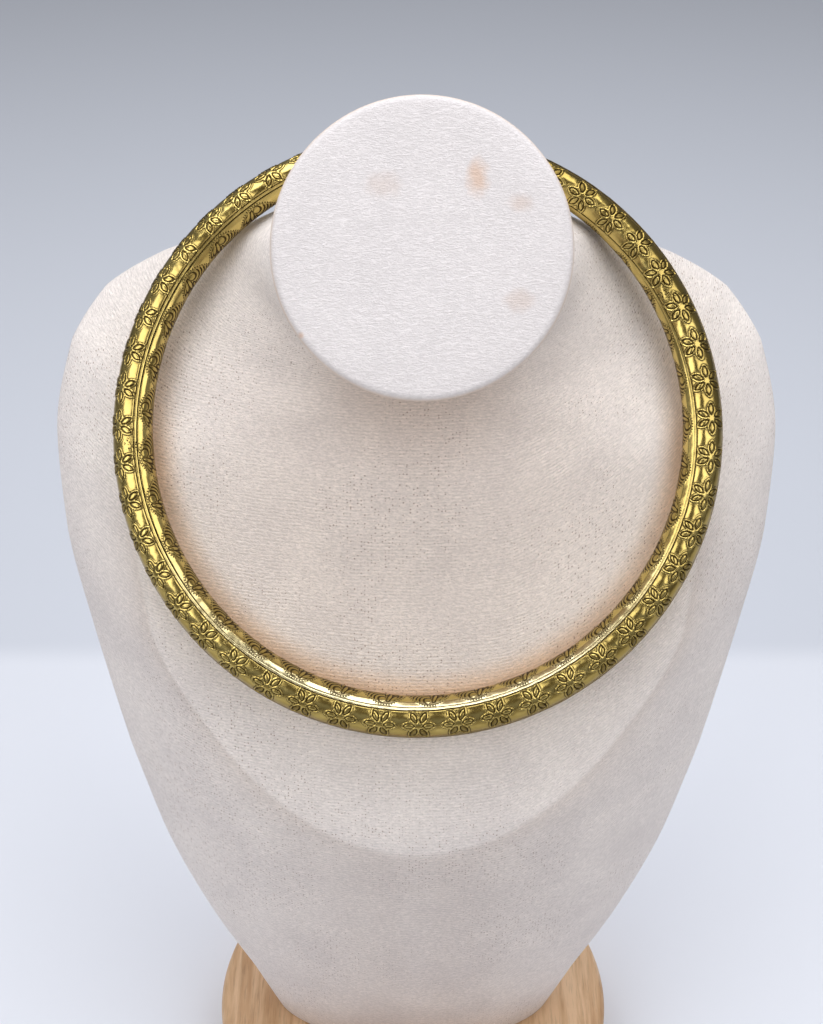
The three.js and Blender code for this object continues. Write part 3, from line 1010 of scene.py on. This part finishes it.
def leaf_edge(across, y):
    """Signed distance to the nearest leaf beside the eye. Inside a leaf it is negative."""
    nearest = FAR_AWAY
    for foot, tip, half in LEAVES:
        axis = Vector(tip) - Vector(foot)
        reach = axis.length / 2
        away = Vector((across, y)) - (Vector(foot) + Vector(tip)) / 2
        along = away.dot(axis.normalized())
        beside = abs(away.cross(axis.normalized()))
        curve = (reach * reach + half * half) / (2 * half)
        nearest = min(nearest, math.hypot(along, beside + curve - half) - curve)
    return nearest


def scroll_marks(x, y, pitch):
    """The distances that draw one scroll, at a place in its tile, whose ends are at the rope's cusps."""
    across = x - pitch / 2
    from_eye = Vector((across - EYE_OFFSET, y - EYE_DEPTH))
    return {
        "rope": min(scroll_rope(across + shift, y) for shift in (-pitch, 0, pitch)),
        "eye": from_eye.length,
        "crescent": (from_eye - Vector((0.2, -0.16))).length,
        "leaf": leaf_edge(*from_eye),
        "hatch": (from_eye.length - EYE_RADIUS) / HATCH_PITCH if from_eye.x < 0.5 else 0.0,
        "bead": SCROLL_CURVE * math.atan2(across, SCROLL_APEX + SCROLL_CURVE - y),
    }


def scroll_height(x, y, pitch):
    """Height of the stamped scrolls as a share of their relief."""
    if y > ORNAMENT_END:
        return 0.7 * smooth_step(0.1, 0.6, y - ORNAMENT_END)
    marks = scroll_marks(x, y, pitch)
    rope = marks["rope"]
    disc = 0.78 * (1 - smooth_step(EYE_RADIUS - 0.3, EYE_RADIUS + 0.05, marks["eye"]))
    leaf = 0.74 * (1 - smooth_step(-0.2, 0.06, marks["leaf"]))
    arcs = 0.66 - 0.08 * math.cos(2 * math.pi * marks["hatch"])
    ground = 0.6
    inside = max(disc, leaf, arcs if marks["hatch"] > 0 else 0, ground)
    inside = ground + (inside - ground) * smooth_step(0, 0.4, min(x, pitch - x))
    outside = smooth_step(-0.45, -0.1, rope)
    return inside + (0.75 - inside) * outside + 0.08 * ridge(rope, 0.1, 0.12)


class OBJECT_OT_scroll_strip(bpy.types.Operator):
    """Stamp the inner strip of the torc with its scrolls and roll it into shape"""

    bl_idname = "object.torc_scroll_strip"
    bl_label = "Scroll Strip"

    def execute(self, context):
        sizes = context.scene.torc_sizes
        band, border, gap = sizes.flower_band / MM, sizes.border / MM, sizes.seam_gap / MM
        low = border + gap

        def far_edge(turn):
            return 2 * math.pi * tube_radius(turn) - band - border - gap

        high = far_edge(0)
        flat_radius = SCROLL_FLAT_RADIUS
        pitch = math.radians(FULL_TURN / sizes.scrolls) * flat_radius
        count = sizes.scrolls
        start = math.radians(EYE_TURN) * flat_radius - EYE_OFFSET - pitch / 2
        left = start - pitch * (count // 2)
        thickness = sizes.sheet / MM - GROUND_DEPTH
        plain_start = STAMPED_END + 0.25
        # Rows lie closest at the near edge and in the ornament.
        rows = even_rows(low, low + 0.6, 5) + even_rows(low + 0.6, ORNAMENT_END, 29)[1:]
        rows += even_rows(ORNAMENT_END, STAMPED_END, 8)[1:]
        outside = flat_grid("scroll_strip_brass", left, left + pitch, SCROLL_COLUMNS, rows)
        places = [vertex.co for vertex in outside.data.vertices]
        marks = [scroll_marks(co.x - left, co.y, pitch) for co in places]
        for name in marks[0]:
            drawn = [mark[name] if co.y < ORNAMENT_END else FAR_AWAY for mark, co in zip(marks, places)]
            measure(outside, name, drawn)
        measure(outside, "across", lambda co: co.y)

        def height(co):
            lip = smooth_step(low - 0.15, low + 0.05, co.y)
            share = min((co.y - low) / BAND_WIDTH, 1)
            fall = BAND_FALL * (1 - share * (0.6 + 0.4 * share)) * MM / sizes.relief
            return lip * scroll_height(co.x - left, co.y, pitch) - fall

        press(outside, sizes.relief / MM, height)
        plain = flat_grid(
            "scroll_plain", left, left + pitch, 5, even_rows(plain_start, high, 15), 0.7 * sizes.relief / MM
        )
        for name in (*marks[0], "across"):
            measure(plain, name, lambda co: FAR_AWAY)
        inside = flat_grid("scroll_inside", left, left + pitch, 4, even_rows(low, high, 18), -thickness)
        strip = join([outside, plain, inside])
        bridge(strip, lambda co: STAMPED_END - MEETING < co.y < plain_start + MEETING and co.z > -0.1)

        def shift(turn, across):
            """Moves the near edge to close the seam, and the far edge to where the thinner tube ends."""
            if across > plain_start:
                share = (across - plain_start) / (high - plain_start)
                return plain_start + share * (far_edge(turn) - plain_start)
            closing = CLOSED_SHIFT * between(SEAM_CLOSED, turn)
            return across - closing * (1 - smooth_step(low, low + 0.9, across))

        roll_strip(strip, (low, high), pitch, count, flat_radius, SCROLL_DRIFT, shift)
        finish_piece(strip, scroll_brass(), "scroll_strip", angle=50)
        return {"FINISHED"}


# ---------------------------------------------------------------- the end caps


class OBJECT_OT_end_caps(bpy.types.Operator):
    """Turn the two plain caps that close the torc's ends"""

    bl_idname = "object.torc_end_caps"
    bl_label = "End Caps"

    def execute(self, context):
        sizes = context.scene.torc_sizes
        brass = plain_brass()
        for side, name in ((-1, "left"), (1, "right")):
            turn = side * end_turn()
            radius = tube_radius(turn)
            spigot = radius - sizes.sheet / MM - SPIGOT_PLAY
            start_clean()
            bpy.ops.mesh.primitive_cylinder_add(vertices=48, radius=spigot, depth=CAP_SPIGOT + CAP_GAP)
            cap = new_piece(f"end_cap_{name}_brass")
            top = (CAP_SPIGOT + CAP_GAP) / 2
            bpy.ops.object.mode_set(mode="EDIT")
            select_points(cap, lambda co: co.z > 0)
            bpy.ops.mesh.inset(thickness=0.0)
            wider = radius / spigot
            bpy.ops.transform.resize(value=(wider, wider, 1), center_override=(0, 0, top))
            # The dome, in rings that follow a quarter of an ellipse
            steps = 10
            for step in range(1, steps):
                before = math.radians(90 * (step - 1) / steps)
                now = math.radians(90 * step / steps)
                bpy.ops.mesh.inset(thickness=0.0)
                share = math.cos(now) / math.cos(before)
                bpy.ops.transform.resize(value=(share, share, 1), center_override=(0, 0, top))
                bpy.ops.transform.translate(value=(0, 0, CAP_DOME * (math.sin(now) - math.sin(before))))
            bpy.ops.object.mode_set(mode="OBJECT")
            outward = torc_outward(turn)
            along = outward.cross(TORC_AXIS) * -side
            across = TORC_AXIS.cross(along)
            turned = Matrix((across, TORC_AXIS, along)).transposed().to_4x4()
            middle = torc_point(turn, 0, 0) + along * ((CAP_GAP - top) * MM)
            cap.matrix_world = Matrix.Translation(middle) @ turned @ Matrix.Scale(MM, 4)
            apply_place(cap)
            face_outwards(cap)
            finish_piece(cap, brass, f"end_cap_{name}", angle=40)
        return {"FINISHED"}


# ---------------------------------------------------------------- the neck bust


def soft_lesser(a, b):
    """The smaller of two numbers, with a soft turn where they cross."""
    overlap = max(CREASE_SOFTNESS - abs(a - b), 0)
    return min(a, b) - overlap**2 / (4 * CREASE_SOFTNESS)


def front_forms(x, half, reach, rim, crease):
    """How far a row stands forward at x: in the chest's face, and in the board's sides."""
    fall = 1 - (x / half) ** 2
    sides = (reach + crease) * (rim * math.sqrt(max(fall, 0)) + (1 - rim) * fall)
    roundness = CHEST_ROUNDNESS * (reach + crease) * (1 - rim / 2)
    return reach - roundness * (1 - fall), sides


def front_reach(x, half, reach, rim, crease):
    """How far the front of a row stands forward at x: the chest's face, or the board's side."""
    return max(soft_lesser(*front_forms(x, half, reach, rim, crease)), 0)


def spline(points, at):
    """A point on a centripetal Catmull-Rom curve through points, at a share of its length in rows."""
    last = len(points) - 1
    place = min(max(at, 0), 1) * last
    i = min(int(place), last - 1)
    share = place - i
    p1, p2 = points[i], points[i + 1]
    p0 = points[i - 1] if i > 0 else p1 * 2 - p2
    p3 = points[i + 2] if i + 2 <= last else p2 * 2 - p1
    gaps = [(b - a).length_squared ** 0.25 for a, b in ((p0, p1), (p1, p2), (p2, p3))]
    middle = gaps[1] if gaps[1] > 1e-4 else 1
    before = gaps[0] if gaps[0] > 1e-4 else middle
    after = gaps[2] if gaps[2] > 1e-4 else middle
    start = ((p1 - p0) / before - (p2 - p0) / (before + middle) + (p2 - p1) / middle) * middle
    end = ((p2 - p1) / middle - (p3 - p1) / (middle + after) + (p3 - p2) / after) * middle
    return (
        p1
        + start * share
        + (p2 * 3 - p1 * 3 - start * 2 - end) * share**2
        + (p1 * 2 - p2 * 2 + start + end) * share**3
    )


def bust_curves():
    """The bust's rows as four curves: front and back points, sizes, and forms."""
    fronts = [Vector((0, *row[0])) for row in BUST_ROWS]
    backs = [Vector((0, *row[1])) for row in BUST_ROWS]
    sizes = [Vector((row[2] / CHEST_HALF_WIDTH, row[3], 0)) for row in BUST_ROWS]
    forms = [Vector((row[4], row[5], 0)) for row in BUST_ROWS]
    return fronts, backs, sizes, forms


def bust_point(curves, at, turn):
    """A place on the bust in millimetres, from its share of the rows and its turn round them."""
    front, back, size, form = (spline(points, at) for points in curves)
    half, widest = size.x * CHEST_HALF_WIDTH, size.y
    rim, crease = form.x, max(form.y, 0)
    depth = (front - back).length
    forward = (front - back).normalized()
    middle = front - forward * (depth * widest)
    x, sine = half * math.cos(turn), math.sin(turn)
    if sine > 1e-6:
        along = front_reach(x, half, depth * widest, rim, crease)
    else:
        along = -depth * (1 - widest) * (rim * -sine + (1 - rim) * sine**2)
    place = middle + forward * along
    place.x = x
    return place


def past_crease(curves, at, turn):
    """How far a place lies past the chest's crease, in millimetres of depth. On the chest it is negative."""
    if math.sin(turn) <= 0:
        return 15
    front, back, size, form = (spline(points, at) for points in curves)
    half = size.x * CHEST_HALF_WIDTH
    reach = (front - back).length * size.y
    chest, sides = front_forms(half * math.cos(turn), half, reach, form.x, max(form.y, 0))
    return min(max(chest - sides, -5), 15)


def weave_lengths(mesh, at, turns, rows, sides):
    """For each vertex, how far it lies round its row from the front, and up its column, in metres."""
    grid = {}
    for i, (share, turn) in enumerate(zip(at, turns)):
        grid[round(share * rows), round(turn / (2 * math.pi) * sides) % sides] = i
    around, climbed = [0.0] * len(at), [0.0] * len(at)

    def walk(lengths, path, sign):
        for last, i in zip(path, path[1:]):
            lengths[i] = lengths[last] + sign * (mesh.vertices[i].co - mesh.vertices[last].co).length

    for row in range(rows + 1):
        for way in (1, -1):
            walk(around, [grid[row, (sides // 4 + way * k) % sides] for k in range(sides // 2 + 1)], 1)
    for side in range(sides):
        walk(climbed, [grid[row, side] for row in range(rows // 2, rows + 1)], 1)
        walk(climbed, [grid[row, side] for row in range(rows // 2, -1, -1)], -1)
    return around, climbed


def rib_lean(x):
    """How far the ribs have slipped from level at a distance to the right, in millimetres."""
    return 0.16 * max(x - 20, 0) ** 1.3 - 0.06 * max(-x - 25, 0)


class OBJECT_OT_neck_bust(bpy.types.Operator):
    """Shape the bust's board and chest and cover them with ribbed linen"""

    bl_idname = "object.torc_neck_bust"
    bl_label = "Neck Bust"

    def execute(self, context):
        sides, rows = BUST_SIDES, BUST_STEPS
        start_clean()
        bpy.ops.mesh.primitive_cylinder_add(vertices=sides, radius=1, depth=1, location=(0, 0, 0.5))
        bust = new_piece("neck_bust_linen")
        apply_place(bust)
        bpy.ops.object.mode_set(mode="EDIT")
        bpy.ops.mesh.select_mode(type="EDGE")
        bpy.ops.object.mode_set(mode="OBJECT")
        mesh = bust.data
        # The cylinder's upright edges are cut into even steps.
        for edge in mesh.edges:
            low, high = (mesh.vertices[i].co.z for i in edge.vertices)
            edge.select = abs(high - low) > 0.5
        for parts, chosen in ((mesh.vertices, True), (mesh.polygons, False)):
            parts.foreach_set("select", [chosen] * len(parts))
        bpy.ops.object.mode_set(mode="EDIT")
        bpy.ops.mesh.subdivide_edgering(number_cuts=rows - 1, interpolation="LINEAR")
        bpy.ops.object.mode_set(mode="OBJECT")

        curves = bust_curves()
        at = [vertex.co.z for vertex in mesh.vertices]
        turns = [math.atan2(-vertex.co.y, vertex.co.x) for vertex in mesh.vertices]
        reshape(bust, lambda co: bust_point(curves, co.z, math.atan2(-co.y, co.x)) * MM)

        measure(bust, "past_crease", [past_crease(curves, up, turn) for up, turn in zip(at, turns)])

        around, climbed = weave_lengths(mesh, at, turns, rows, sides)
        weave = mesh.uv_layers.new(name="weave")
        for face in mesh.polygons:
            side = 1 if face.center.x > 0 else -1
            for loop in face.loop_indices:
                i = mesh.loops[loop].vertex_index
                lean = 0 if turns[i] < 0 else rib_lean(mesh.vertices[i].co.x / MM) * MM
                weave.data[loop].uv = (side * around[i], climbed[i] - lean)
        face_outwards(bust)
        finish_piece(bust, ribbed_linen(), "neck_bust", angle=60)
        return {"FINISHED"}


# Stains on the cap's face, in millimetres from its middle.
CAP_STAINS = (
    # right, up, half width, half height, strength, tint
    (11.2, 14.2, 2.9, 4.6, 0.5, "amber"),
    (19.8, 9.2, 3.4, 2.2, 0.4, "rust"),
    (19.8, -10.5, 3.8, 3.0, 0.35, "rust"),
    (-8.0, 12.6, 4.6, 3.4, 0.28, "rust"),
    (1.0, 27.5, 2.4, 1.4, 0.3, "grey"),
    (-24.8, -17.8, 1.0, 1.0, 0.6, "amber"),
)
# Shares of the stain's red, green and blue in rust, and of the cap's colour in grey
RUST_SHARE = (0.91, 1.2, 1.9)
GREY_SHARE = 0.75


class OBJECT_OT_neck_cap(bpy.types.Operator):
    """Make the round linen-covered cap that closes the neck"""

    bl_idname = "object.torc_neck_cap"
    bl_label = "Neck Cap"

    def execute(self, context):
        sizes, colours = context.scene.bust_sizes, context.scene.torc_colours
        start_clean()
        bpy.ops.mesh.primitive_cylinder_add(
            vertices=128, radius=sizes.cap_radius, depth=CAP_THICKNESS * MM, end_fill_type="NGON"
        )
        cap = new_piece("neck_cap_linen")
        round_disc(cap, sizes.cap_edge, 6, 4 * MM)
        facing = Vector((0, -math.cos(CAP_TILT), math.sin(CAP_TILT)))
        y, z = cap_point(0, CAP_THICKNESS / 2)
        tilt = Matrix.Rotation(math.pi / 2 - CAP_TILT, 4, "X")
        cap.matrix_world = Matrix.Translation(Vector((0, y, z)) * MM) @ tilt
        apply_place(cap)
        face_outwards(cap)

        def on_face(right, up):
            """A place on the cap's face, from its middle, in metres."""
            slope = Vector((0, math.sin(CAP_TILT), math.cos(CAP_TILT)))
            middle = Vector((0, *CAP_CENTRE)) * MM
            return middle + Vector((right, 0, 0)) * MM + slope * (up * MM)

        tints = {
            "amber": colours.stain,
            "rust": [a * b for a, b in zip(colours.stain, RUST_SHARE)],
            "grey": [c * GREY_SHARE for c in colours.cap],
        }
        stains = [
            (on_face(right, up), [wide * MM, high * MM, high * MM], strength, tints[tint])
            for right, up, wide, high, strength, tint in CAP_STAINS
        ]
        face_depth = facing.dot(on_face(0, 0))
        measure(cap, "rim", lambda co: 0.8 * smooth_step(0.1, 1.2, (face_depth - facing.dot(co)) / MM))
        finish_piece(cap, cap_linen(stains), "neck_cap", angle=60)
        return {"FINISHED"}


class OBJECT_OT_wooden_base(bpy.types.Operator):
    """Turn the round wooden base"""

    bl_idname = "object.torc_wooden_base"
    bl_label = "Wooden Base"

    def execute(self, context):
        low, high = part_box("wooden_base")
        middle = (low + high) / 2
        start_clean()
        bpy.ops.mesh.primitive_cylinder_add(
            vertices=160, radius=(high.x - low.x) / 2, depth=high.z - low.z, location=middle
        )
        base = new_piece("wooden_base_wood")
        apply_place(base)
        round_disc(base, context.scene.bust_sizes.base_edge, 8, 6 * MM)
        face_outwards(base)
        finish_piece(base, base_wood(), "wooden_base", angle=60)
        return {"FINISHED"}


# ---------------------------------------------------------------- the stage


COOL, WARM = (0.97, 0.985, 1), (1, 0.985, 0.965)
SOFT_LIGHTS = (
    # name, place, aim, size, power, tint
    ("overhead", (0.0, 0.19, 1.1), (0, -0.02, 0.15), (1.1, 0.76), 9.0, COOL),
    ("window", (-0.48, -0.47, 0.66), (-0.02, 0.0, 0.18), (0.66, 0.6), 2.6, WARM),
    ("side", (0.5, -0.4, 0.7), (0.02, 0.0, 0.18), (0.74, 0.5), 2.3, WARM),
)
CAMERA_PLACE = (-0.0058, -0.299, 0.442)
CAMERA_PITCH, CAMERA_YAW, CAMERA_ROLL = math.radians(39), math.radians(0.779), 0.009
FOCAL_LENGTH = 59.77
SENSOR_WIDTH = 36


def soft_light(name, place, aim, size, power, tint):
    """A rectangular soft light at a place, turned to face another."""
    lamp = bpy.data.lights.new(name, "AREA")
    lamp.shape = "RECTANGLE"
    lamp.size, lamp.size_y = size
    lamp.energy = power
    lamp.color = tint
    light = bpy.data.objects.new(name, lamp)
    bpy.context.scene.collection.objects.link(light)
    light.location = place
    light.rotation_euler = (Vector(aim) - Vector(place)).to_track_quat("-Z", "Y").to_euler()
    light.visible_camera = False


class OBJECT_OT_stage(bpy.types.Operator):
    """Lay the plain floor and set the soft lights and the camera"""

    bl_idname = "object.torc_stage"
    bl_label = "Stage"

    def execute(self, context):
        colours = context.scene.torc_colours
        start_clean()
        bpy.ops.mesh.primitive_plane_add(size=24)
        floor = new_piece("floor")
        material, tree, shader = new_material("Matt paper")
        place = node(tree, "TexCoord").outputs["Object"]
        back = node(tree, "SeparateXYZ", {0: place}).outputs["Y"]
        # Each tone fades in from one distance behind the object's middle to another. The far tones are
        # painted shade, darker with distance behind the object; the front tone is painted shade too,
        # darkening the floor that the brass reflects and that throws light back up.
        tones = (
            (0.155, 0.17, colours.far_floor),
            (0.15, 1.3, colours.farthest_floor),
            (-0.15, -0.45, colours.front_floor),
        )
        tone = rgba(colours.floor)
        for near, far, shade in tones:
            share = node(tree, "MapRange", {"Value": back, "From Min": near, "From Max": far}, **SMOOTH)
            tone = node(tree, "Mix", {0: share, 6: tone, 7: rgba(shade)}, **COLOUR)
        fill(tree, shader, {"Base Color": tone, "Roughness": 0.9})
        floor.data.materials.append(material)

        for light in SOFT_LIGHTS:
            soft_light(*light)

        # A pale room with a warm dark part high in front, where nothing lights it.
        world = bpy.data.worlds.new("Studio")
        context.scene.world = world
        world.use_nodes = True
        room = world.node_tree
        toward = node(room, "TexCoord").outputs["Generated"]
        front = node(room, "VectorMath", {0: toward, 1: (0.03, -0.53, 0.85)}, operation="DOT_PRODUCT")
        share = node(
            room,
            "MapRange",
            {"Value": front.outputs["Value"], "From Min": 0.78, "From Max": 0.94},
            **SMOOTH,
        )
        sky = node(room, "Mix", {0: share, 6: rgba(colours.room), 7: rgba(colours.room_dark)}, **COLOUR)
        fill(room, room.nodes["Background"], {"Color": sky})

        context.scene.view_settings.view_transform = "Standard"
        lens = bpy.data.cameras.new("camera")
        lens.sensor_width = SENSOR_WIDTH
        lens.lens = FOCAL_LENGTH
        lens.dof.use_dof = False
        camera = bpy.data.objects.new("camera", lens)
        context.scene.collection.objects.link(camera)
        level = math.cos(CAMERA_PITCH)
        aside, ahead = math.sin(CAMERA_YAW), math.cos(CAMERA_YAW)
        forward = Vector((aside * level, ahead * level, -math.sin(CAMERA_PITCH)))
        right = Vector((ahead, -aside, 0))
        up = right.cross(forward)
        right, up = (right + up * CAMERA_ROLL).normalized(), (up - right * CAMERA_ROLL).normalized()
        turned = Matrix((right, up, -forward)).transposed().to_4x4()
        camera.matrix_world = Matrix.Translation(CAMERA_PLACE) @ turned
        context.scene.camera = camera
        return {"FINISHED"}


# ---------------------------------------------------------------- the panel and the run

OPERATORS = (
    OBJECT_OT_stage,
    OBJECT_OT_flower_strip,
    OBJECT_OT_scroll_strip,
    OBJECT_OT_end_caps,
    OBJECT_OT_neck_bust,
    OBJECT_OT_neck_cap,
    OBJECT_OT_wooden_base,
)


GROUPS = {"torc_sizes": TorcSizes, "bust_sizes": BustSizes, "torc_colours": TorcColours}


class VIEW3D_PT_torc(bpy.types.Panel):
    """Sizes, colours and steps of the torc on its bust"""

    bl_label = "Torc on a Neck Bust"
    bl_space_type = "VIEW_3D"
    bl_region_type = "UI"
    bl_category = "Torc"

    def draw(self, context):
        for group in GROUPS:
            box = self.layout.box()
            values = getattr(context.scene, group)
            for name in values.__annotations__:
                box.prop(values, name)
        for operator in OPERATORS:
            self.layout.operator(operator.bl_idname)


def register():
    for name, group in GROUPS.items():
        bpy.utils.register_class(group)
        setattr(bpy.types.Scene, name, bpy.props.PointerProperty(type=group))
    for made in (*OPERATORS, VIEW3D_PT_torc):
        bpy.utils.register_class(made)


def unregister():
    for made in (VIEW3D_PT_torc, *reversed(OPERATORS)):
        bpy.utils.unregister_class(made)
    for name, group in reversed(GROUPS.items()):
        delattr(bpy.types.Scene, name)
        bpy.utils.unregister_class(group)


def main():
    register()
    for operator in OPERATORS:
        group, name = operator.bl_idname.split(".")
        getattr(getattr(bpy.ops, group), name)()


if __name__ == "__main__":
    main()
